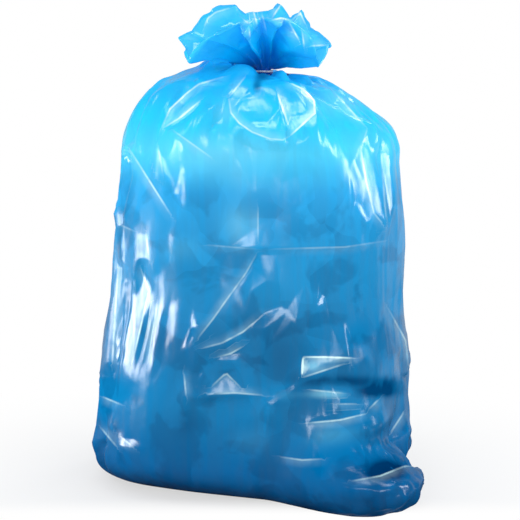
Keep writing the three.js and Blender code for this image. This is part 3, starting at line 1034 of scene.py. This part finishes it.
def store_looks(mesh, grid, points, normals, inner, stage):
    """Stores the spread of the ruffle, the front patches of painted light and shade, and the white creases
    with their painted highlights at each point of the mesh.
    """
    columns = points.shape[1]
    spread = np.clip((grid.row_places - grid.neck - 1) / (grid.rim - grid.neck - 1), 0, 1)
    spread = np.concatenate([spread, spread[grid.lined][::-1]])
    facing = on_front(points, normals, stage)
    painted_light_and_tone, dull = front_painted_light_and_tones(points, facing, stage)
    side, gap, white = white_creases_and_highlights(np.concatenate([points, inner]), stage)
    white[: len(points)][~facing & grid.body[:, None]] = 0
    looks = {
        "spread": np.repeat(spread, columns),
        "painted_light_and_tone": painted_light_and_tone,
        "dull": dull,
        "side": side,
        "gap": gap,
        "white": white,
    }
    start = 1 + len(BASE_STEPS) * columns
    for name, values in looks.items():
        over_all = np.zeros(len(mesh.vertices), np.float32)
        over_all[start : start + values.size] = values.ravel()
        mesh.attributes.new(name, "FLOAT", "POINT").data.foreach_set("value", over_all)


# Materials


class Wire:
    """An output in a material's node tree, worked with like a number."""

    def __init__(self, tree, socket=None):
        self.tree = tree
        self.socket = socket

    def node(self, kind, options, inputs, output=0):
        """A new node: its type, its settings, then the values or wires of its sockets."""
        made = self.tree.nodes.new(kind)
        for name, value in options.items():
            if name == "stops":
                self.set_stops(made.color_ramp.elements, value)
            else:
                setattr(made, name, value)
        for key, value in inputs.items():
            if isinstance(value, Wire):
                self.tree.links.new(value.socket, made.inputs[key])
            else:
                made.inputs[key].default_value = value
        return Wire(self.tree, made.outputs[output] if made.outputs else None)

    def set_stops(self, elements, stops):
        """Gives a ramp its places and colours in place of those that it starts with."""
        elements.remove(elements[-1])
        for number, (place, colour) in enumerate(stops):
            element = elements[0] if number == 0 else elements.new(place)
            element.position = place
            element.color = opaque(colour)

    def math(self, operation, first, second):
        return self.node("ShaderNodeMath", {"operation": operation}, {0: first, 1: second})

    def __add__(self, other):
        return self.math("ADD", self, other)

    def __radd__(self, other):
        return self.math("ADD", other, self)

    def __sub__(self, other):
        return self.math("SUBTRACT", self, other)

    def __rsub__(self, other):
        return self.math("SUBTRACT", other, self)

    def __mul__(self, other):
        return self.math("MULTIPLY", self, other)

    def __rmul__(self, other):
        return self.math("MULTIPLY", other, self)

    def __truediv__(self, other):
        return self.math("DIVIDE", self, other)

    def __rtruediv__(self, other):
        return self.math("DIVIDE", other, self)

    def __abs__(self):
        return self.math("ABSOLUTE", self, 0.0)

    def blend(self, start, end, kind="MIX"):
        """From one colour to another as this wire goes from 0 to 1."""
        return self.node(
            "ShaderNodeMix",
            {"data_type": "RGBA", "blend_type": kind},
            {0: self, 6: start, 7: end},
            output=2,
        )

    def between(self, low, high):
        """0 below one value, 1 above the other, and a smooth step between."""
        return self.node(
            "ShaderNodeMapRange",
            {"interpolation_type": "SMOOTHSTEP"},
            {"Value": self, "From Min": low, "From Max": high},
        )


def opaque(colour):
    return (*colour, 1.0)


def new_material(name):
    material = bpy.data.materials.new(name)
    material.use_nodes = True
    material.node_tree.nodes.clear()
    return material, Wire(material.node_tree)


def object_place(wire):
    return wire.node("ShaderNodeTexCoord", {}, {}, output="Object")


def stored(wire, name):
    """A number that the mesh holds at each point."""
    return wire.node("ShaderNodeAttribute", {"attribute_name": name}, {}, output="Fac")


def noise(wire, place, scale, detail, **more):
    """Noise from about 0 to 1."""
    return wire.node("ShaderNodeTexNoise", {}, {"Vector": place, "Scale": scale, "Detail": detail, **more})


def surface(wire, shader):
    """Ends a material with its shader."""
    wire.node("ShaderNodeOutputMaterial", {}, {"Surface": shader})


def film_colour(wire, place, height, film):
    """Colour of the film over the filling: bright where the bag is empty, partly as painted light, with
    painted sheen on the upper front, and painted shade making it dark at the foot.
    """
    ramp_top = 0.8
    cloud = noise(wire, place, 9.0, 4.0, Roughness=0.55)
    level = (height + (cloud - 0.5) * 0.04) / ramp_top
    # Stops up the bag: darker towards the foot, partly as painted shade; the paler stop at 0.7 is painted
    # sheen on the upper front
    stops = (
        (0.0, film.foot_shade_colour[:]),
        (0.03, srgb(0, 78, 130)),
        (0.07, srgb(0, 102, 164)),
        (0.12, srgb(0, 114, 176)),
        (0.2, srgb(14, 130, 190)),
        (0.33, film.side_colour[:]),
        (0.45, srgb(28, 152, 214)),
        (0.55, srgb(34, 160, 224)),
        (0.62, srgb(44, 176, 242)),
        (0.7, srgb(74, 210, 254)),
        (0.76, srgb(36, 204, 254)),
        (0.82, film.crown_colour[:]),
    )
    ramp = wire.node("ShaderNodeValToRGB", {"stops": stops}, {0: level})
    # Lumps and patches of the filling, which show through the film
    warp = wire.node("ShaderNodeTexNoise", {}, {"Vector": place, "Scale": 7.0, "Detail": 2.0}, output="Color")
    bent = wire.node(
        "ShaderNodeVectorMath", {"operation": "MULTIPLY_ADD"}, {0: warp, 1: (0.12, 0.12, 0.12), 2: place}
    )
    lump = wire.node("ShaderNodeTexVoronoi", {}, {"Vector": bent, "Scale": 15.0}, output="Color")
    grey = wire.node("ShaderNodeRGBToBW", {}, {0: lump})
    patch = noise(wire, place, 14.0, 3.0, Distortion=0.6).between(0.47, 0.57)
    filled = 1 - height.between(0.46, 0.56)
    painted_light_and_tone = stored(wire, "painted_light_and_tone")
    # Darker where the filling shows through, and painted shade where the front patches are below 0
    filling_and_painted_shade = (patch * 0.24 + grey * 0.24) * filled + painted_light_and_tone.between(0.0, -1.0) * 0.9
    darker = filling_and_painted_shade.blend(ramp, opaque(srgb(60, 130, 150)), kind="MULTIPLY")
    # Front patches above 0 are painted highlights and sheen, in pale cyan
    return (painted_light_and_tone.between(0.0, 1.0) * 0.6).blend(darker, opaque(srgb(130, 225, 255)))


def crease_white_and_highlight(wire, place):
    """How white the film is along a sharp crease, partly whitened film and partly painted highlight: most
    along its line, with painted sheen fading on one side.
    """
    side, gap, white = (stored(wire, name) for name in ("side", "gap", "white"))
    line = abs(side).between(1.5, 0.2) * gap.between(6.0, 3.0)
    painted_sheen_fade = side.between(-1.0, 0.0) * side.between(10.0, 0.0) * gap.between(11.0, 7.0)
    broken = noise(wire, place, 45.0, 2.0).between(0.3, 0.6)
    return white * (0.5 + broken * 0.5) * (line * 0.9 + painted_sheen_fade * 0.36)


def film_material(film):
    """Glossy blue film over the filling."""
    material, wire = new_material("blue_film")
    place = object_place(wire)
    height = wire.node("ShaderNodeSeparateXYZ", {}, {0: place}, output="Z")
    colour = film_colour(wire, place, height, film)
    # White creases: partly whitened film, partly painted highlights and sheen
    colour = crease_white_and_highlight(wire, place).blend(colour, opaque(srgb(215, 253, 255)))
    crinkle = noise(wire, place, 60.0, 3.0)
    bump = wire.node("ShaderNodeBump", {}, {"Strength": 0.06, "Distance": 0.002, "Height": crinkle})
    # Blown film is streaked up and down: some of it shines less
    drawn_out = wire.node("ShaderNodeVectorMath", {"operation": "MULTIPLY"}, {0: place, 1: (1.0, 1.0, 0.07)})
    shine = 0.35 + noise(wire, drawn_out, 75.0, 2.0).between(0.36, 0.58) * 0.65
    glossy = 1 - stored(wire, "dull").between(0.0, 1.0)
    shader = wire.node(
        "ShaderNodeBsdfPrincipled",
        {},
        {
            "Base Color": colour,
            "Roughness": 0.5,
            "Specular IOR Level": 0.0,
            "Coat Weight": glossy * height.between(-0.02, 0.07) * shine,
            "Coat Roughness": film.gloss_roughness,
            "Coat IOR": 1.75,
            "Normal": bump,
        },
    )
    surface(wire, shader)
    return material


def loose_material(film):
    """Thin see-through film of the ruffle, deep blue where it is gathered, white along its sharp creases,
    partly as painted highlights, with a painted glow that stands in for light through it.
    """
    material, wire = new_material("loose_film")
    spread = stored(wire, "spread")
    # White along the sharp creases, partly whitened film and partly painted highlight streaks
    streak_white_and_highlight = crease_white_and_highlight(wire, object_place(wire))
    stops = (
        (0.0, srgb(0, 40, 118)),
        (0.2, srgb(0, 66, 160)),
        (0.4, srgb(0, 126, 212)),
        (0.6, srgb(0, 190, 248)),
        (1.0, srgb(70, 218, 255)),
    )
    ramp = wire.node("ShaderNodeValToRGB", {"stops": stops}, {0: spread})
    colour = streak_white_and_highlight.blend(ramp, opaque(srgb(225, 248, 255)))
    film_shader = wire.node(
        "ShaderNodeBsdfPrincipled",
        {},
        {
            "Base Color": colour,
            "Roughness": 0.6 * film.gloss_roughness,
            "Specular IOR Level": 0.9,
            # Painted glow: the film shines a little on its own, standing in for light coming through it
            "Emission Color": colour,
            "Emission Strength": 0.12,
        },
    )
    clear = wire.node("ShaderNodeBsdfTransparent", {}, {"Color": opaque(srgb(175, 234, 255))})
    solid = 0.97 - spread.between(0.3, 1.0) * 0.4 + streak_white_and_highlight * 0.4
    surface(wire, wire.node("ShaderNodeMixShader", {}, {0: solid, 1: clear, 2: film_shader}))
    return material


def tie_material(tie):
    """Pale plastic strands, scuffed, with random patches tinted towards the film's blue."""
    material, wire = new_material("tie_plastic")
    scuffs = noise(wire, object_place(wire), 260.0, 3.0)
    # Random patches tinted towards the film's blue
    blue_tint = scuffs.between(0.42, 0.68) * 0.5
    bump = wire.node("ShaderNodeBump", {}, {"Strength": 0.25, "Distance": 0.0004, "Height": scuffs})
    shader = wire.node(
        "ShaderNodeBsdfPrincipled",
        {},
        {
            "Base Color": blue_tint.blend(opaque(tie.colour), opaque(srgb(120, 178, 214))),
            "Roughness": 0.32 + scuffs * 0.26,
            "Normal": bump,
        },
    )
    surface(wire, shader)
    return material


# Operators


class BAG_OT_film(bpy.types.Operator):
    """Makes the creased film of the bag and the loose film above the tie"""

    bl_idname = "object.bag_film"
    bl_label = "Bag film"

    def execute(self, context):
        film, stage = context.scene.bag_film, context.scene.bag_stage
        grid = FilmGrid(cad_rows(), film.columns)
        points = film_points(grid, film, stage)
        normals = normals_of(points)
        inner = (points - film.thickness * normals)[grid.lined][::-1]
        mesh = film_mesh(points, inner)
        store_looks(mesh, grid, points, normals, inner, stage)
        mesh.materials.append(film_material(film))
        mesh.materials.append(loose_material(film))
        bands_below = 1 + len(BASE_STEPS) + int(np.argmax(grid.row_places > grid.neck + 0.5))
        slots = np.arange(len(mesh.polygons)) >= film.columns * bands_below
        mesh.polygons.foreach_set("material_index", slots.astype(np.int32))
        bag = bpy.data.objects.new("bag_film", mesh)
        context.scene.collection.objects.link(bag)
        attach(bag, "root")
        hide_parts("film_bag")
        return {"FINISHED"}


class BAG_OT_tie(bpy.types.Operator):
    """Makes the twisted tie round the neck"""

    bl_idname = "object.bag_tie"
    bl_label = "Neck tie"

    def execute(self, context):
        tie = context.scene.bag_tie
        mesh = bpy.data.meshes.new("neck_twine")
        mesh.from_pydata(*self.strands(tie))
        mesh.update()
        mesh.shade_smooth()
        mesh.materials.append(tie_material(tie))
        twine = bpy.data.objects.new("neck_twine", mesh)
        context.scene.collection.objects.link(twine)
        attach(twine, "root")
        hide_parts("neck_tie")
        return {"FINISHED"}

    def strands(self, tie):
        """Points, edges and faces of the strands, twisted round each other in a ring."""
        thick = (TIE_HIGH.z - TIE_LOW.z) / 2
        ring = (TIE_HIGH.x - TIE_LOW.x) / 2 - thick
        strand = thick * 0.55
        steps, sides = 360, 10
        around = np.linspace(0, 2 * math.pi, steps, endpoint=False)
        section = np.linspace(0, 2 * math.pi, sides, endpoint=False)
        vertices, faces = [], []
        for ply in range(tie.plies):
            phase = around * tie.turns + 2 * math.pi * ply / tie.plies
            out = ring + (thick - strand) * np.cos(phase)
            up = (thick - strand) * np.sin(phase)
            radius = out[:, None] + strand * np.cos(section)
            x = NECK.x + radius * np.cos(around)[:, None]
            y = NECK.y + radius * np.sin(around)[:, None]
            z = NECK.z + up[:, None] + strand * np.sin(section)
            base = len(vertices)
            vertices += np.stack([x, y, z], axis=2).reshape(-1, 3).tolist()
            for i in range(steps):
                j = (i + 1) % steps
                for k in range(sides):
                    m = (k + 1) % sides
                    corners = (i * sides + k, j * sides + k, j * sides + m, i * sides + m)
                    faces.append([base + c for c in corners])
        return vertices, [], faces


class BAG_OT_stage(bpy.types.Operator):
    """Makes the floor, the lights, the background and the camera"""

    bl_idname = "object.bag_stage"
    bl_label = "Studio"

    def execute(self, context):
        scene = context.scene
        scene.view_settings.view_transform = "Standard"
        self.floor(scene)
        self.background(scene)
        for name, values in SOFTBOXES.items():
            self.softbox(scene, name, *values)
        self.camera(scene, scene.bag_stage)
        return {"FINISHED"}

    def floor(self, scene):
        """A white floor under the bag and behind it, which fades into the background."""
        size = 8.0
        near = -0.18
        corners = [(-size, near, 0), (size, near, 0), (size, size, 0), (-size, size, 0)]
        mesh = bpy.data.meshes.new("floor")
        mesh.from_pydata(corners, [], [(0, 1, 2, 3)])
        material, wire = new_material("floor_white")
        camera, mirrored = self.ray_kinds(wire)
        place = object_place(wire)
        distance = wire.node("ShaderNodeVectorMath", {"operation": "LENGTH"}, {0: place}, output="Value")
        edge = wire.node("ShaderNodeSeparateXYZ", {}, {0: place}, output="Y").between(near + 0.1, near)
        far = 0.6 + wire.math("MAXIMUM", distance.between(0.25, 0.8), edge) * 0.4
        white = wire.node("ShaderNodeBsdfDiffuse", {}, {"Color": (0.82, 0.83, 0.84, 1.0)})
        # In reflections the floor glows dim near the bag and brighter away from it: painted shadow standing
        # in for the floor's shade round the bag
        level = camera + mirrored * (0.06 + distance.between(0.35, 1.2) * 0.44)
        glow = wire.node("ShaderNodeEmission", {}, {"Color": level, "Strength": 1.0})
        surface(wire, wire.node("ShaderNodeMixShader", {}, {0: camera * far + mirrored, 1: white, 2: glow}))
        mesh.materials.append(material)
        floor = bpy.data.objects.new("floor", mesh)
        scene.collection.objects.link(floor)

    def ray_kinds(self, wire):
        """1 for rays to the camera, and 1 for rays that show the stage in reflections or through film."""
        outputs = wire.node("ShaderNodeLightPath", {}, {}).socket.node.outputs
        camera, glossy, through = (
            Wire(wire.tree, outputs[name])
            for name in ("Is Camera Ray", "Is Glossy Ray", "Is Transmission Ray")
        )
        return camera, glossy + through

    def background(self, scene):
        """White behind the bag and to the camera, dim on the camera's side as a studio is."""
        world = bpy.data.worlds.new("studio")
        world.use_nodes = True
        world.node_tree.nodes.clear()
        wire = Wire(world.node_tree)
        camera, mirrored = self.ray_kinds(wire)
        direction = wire.node("ShaderNodeTexCoord", {}, {}, output="Generated")
        behind = wire.node("ShaderNodeSeparateXYZ", {}, {0: direction}, output="Y").between(0.55, 0.85)
        strength = camera + mirrored * (0.02 + behind * 0.38) + (1 - camera - mirrored) * 0.8
        shader = wire.node(
            "ShaderNodeBackground", {}, {"Color": (1.0, 1.0, 1.0, 1.0), "Strength": strength}
        )
        wire.node("ShaderNodeOutputWorld", {}, {"Surface": shader})
        scene.world = world

    def softbox(self, scene, name, place, target, width, height, power):
        lamp = bpy.data.lights.new(name, "AREA")
        lamp.shape = "RECTANGLE"
        lamp.size = width
        lamp.size_y = height
        lamp.energy = power
        holder = bpy.data.objects.new(name, lamp)
        holder.location = place
        holder.rotation_euler = (Vector(target) - Vector(place)).to_track_quat("-Z", "Y").to_euler()
        holder.visible_camera = False
        scene.collection.objects.link(holder)

    def camera(self, scene, stage):
        data = bpy.data.cameras.new("view")
        data.lens = stage.lens
        data.sensor_width = SENSOR
        data.clip_end = 100.0
        camera = bpy.data.objects.new("view", data)
        camera.location = stage.eye
        camera.rotation_euler = (math.pi / 2 - stage.pitch, 0, stage.turn)
        scene.collection.objects.link(camera)
        scene.camera = camera


class BAG_PT_panel(bpy.types.Panel):
    """Lists the pieces of the bag and their sizes."""

    bl_idname = "BAG_PT_panel"
    bl_label = "Garbage bag"
    bl_space_type = "VIEW_3D"
    bl_region_type = "UI"
    bl_category = "Bag"

    def draw(self, context):
        for group, operator in (
            (context.scene.bag_film, "object.bag_film"),
            (context.scene.bag_tie, "object.bag_tie"),
            (context.scene.bag_stage, "object.bag_stage"),
        ):
            box = self.layout.box()
            for name in group.__annotations__:
                box.prop(group, name)
            box.operator(operator)


CLASSES = (FilmSettings, TieSettings, StageSettings, BAG_OT_film, BAG_OT_tie, BAG_OT_stage, BAG_PT_panel)


def register():
    for item in CLASSES:
        bpy.utils.register_class(item)
    bpy.types.Scene.bag_film = bpy.props.PointerProperty(type=FilmSettings)
    bpy.types.Scene.bag_tie = bpy.props.PointerProperty(type=TieSettings)
    bpy.types.Scene.bag_stage = bpy.props.PointerProperty(type=StageSettings)


def unregister():
    del bpy.types.Scene.bag_stage
    del bpy.types.Scene.bag_tie
    del bpy.types.Scene.bag_film
    for item in reversed(CLASSES):
        bpy.utils.unregister_class(item)


def main():
    register()
    bpy.ops.object.bag_film()
    bpy.ops.object.bag_tie()
    bpy.ops.object.bag_stage()
    bpy.context.view_layer.update()


if __name__ == "__main__":
    main()
